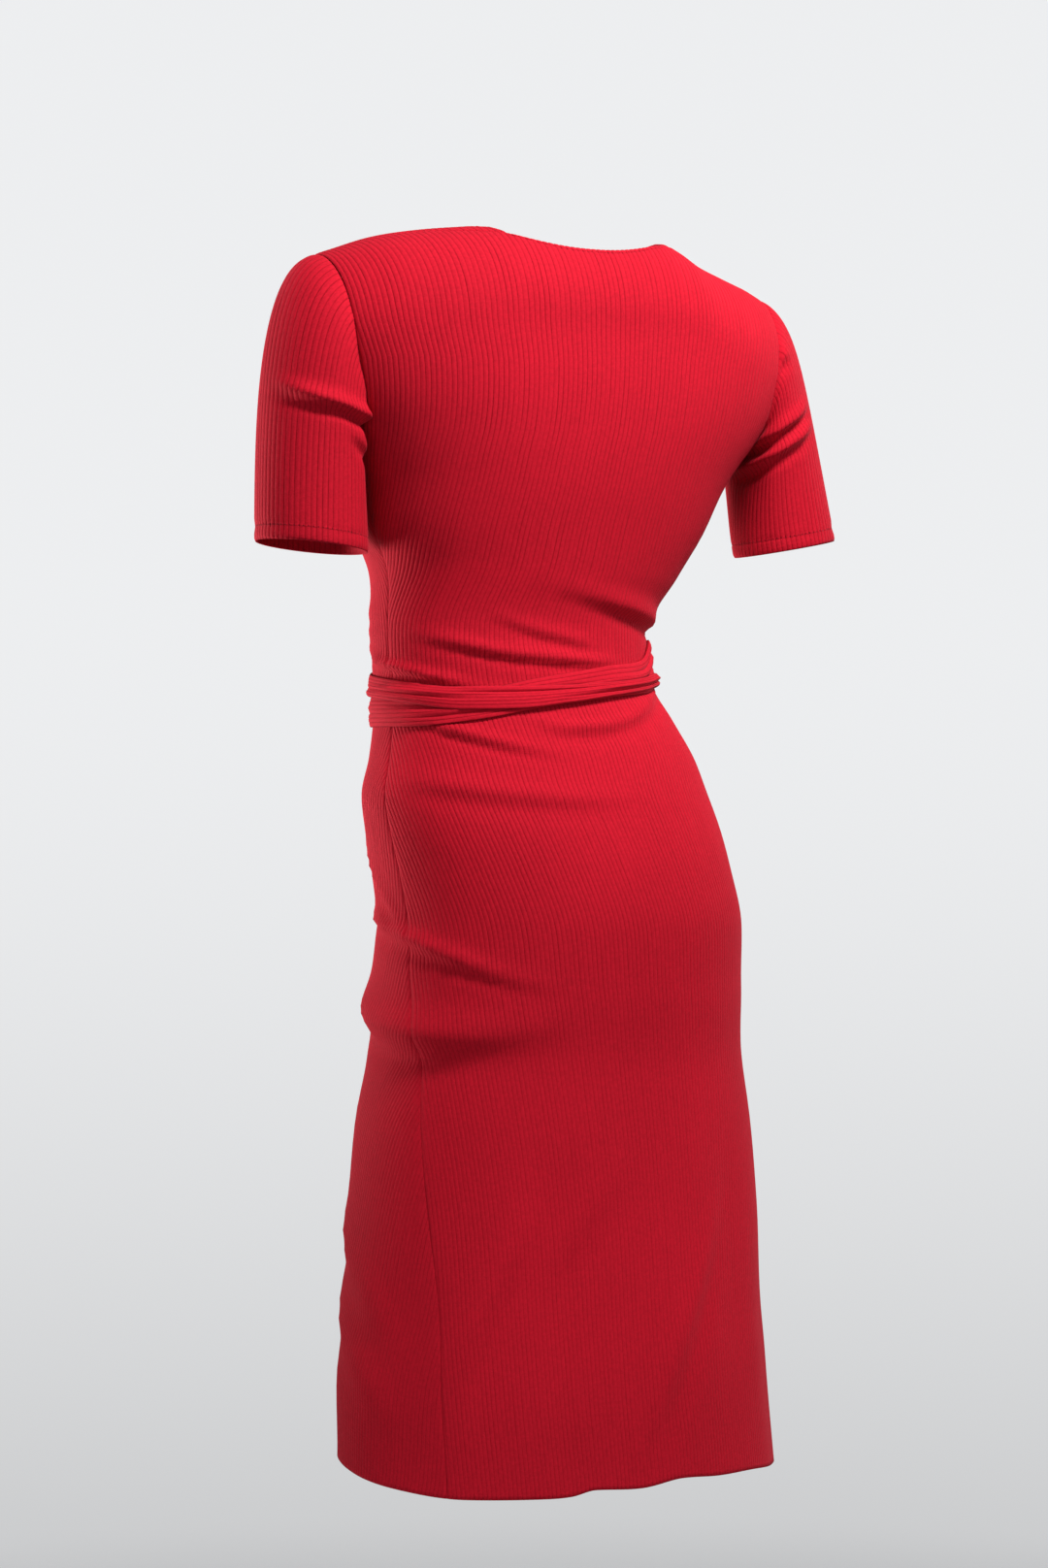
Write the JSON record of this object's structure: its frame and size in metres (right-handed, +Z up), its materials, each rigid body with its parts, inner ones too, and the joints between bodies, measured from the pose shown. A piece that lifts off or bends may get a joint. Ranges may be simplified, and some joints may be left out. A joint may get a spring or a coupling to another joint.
{
  "type": "wrap dress",
  "caption": "Short-sleeved midi wrap dress in fine rib jersey, in its hollow worn form, with ties wound round the waist and knotted in front.",
  "frame": {"origin": "on the body's axis, midway between the shoulders, at the height of the neck points, where the shoulders hold the dress", "axes": "+Z up along the body, -Y the way the wearer faces, +X the wearer's left"},
  "size_m": [0.5189, 0.2785, 1.0191],
  "materials": {
    "rib_jersey": "red fine rib knit, matt with a faint sheen",
    "rib_tie": "the same red rib knit, doubled, ribs along the tie"
  },
  "bodies": {
    "root": {"back": "rib_jersey", "front_left": "rib_jersey", "front_right": "rib_jersey", "sleeve_left": "rib_jersey", "sleeve_right": "rib_jersey", "tie_over_back": "rib_tie", "tie_over_front": "rib_tie", "tie_under_back": "rib_tie", "tie_under_front": "rib_tie", "knot": "rib_tie", "tie_end_over": "rib_tie", "tie_end_under": "rib_tie"}
  },
  "joints": []
}
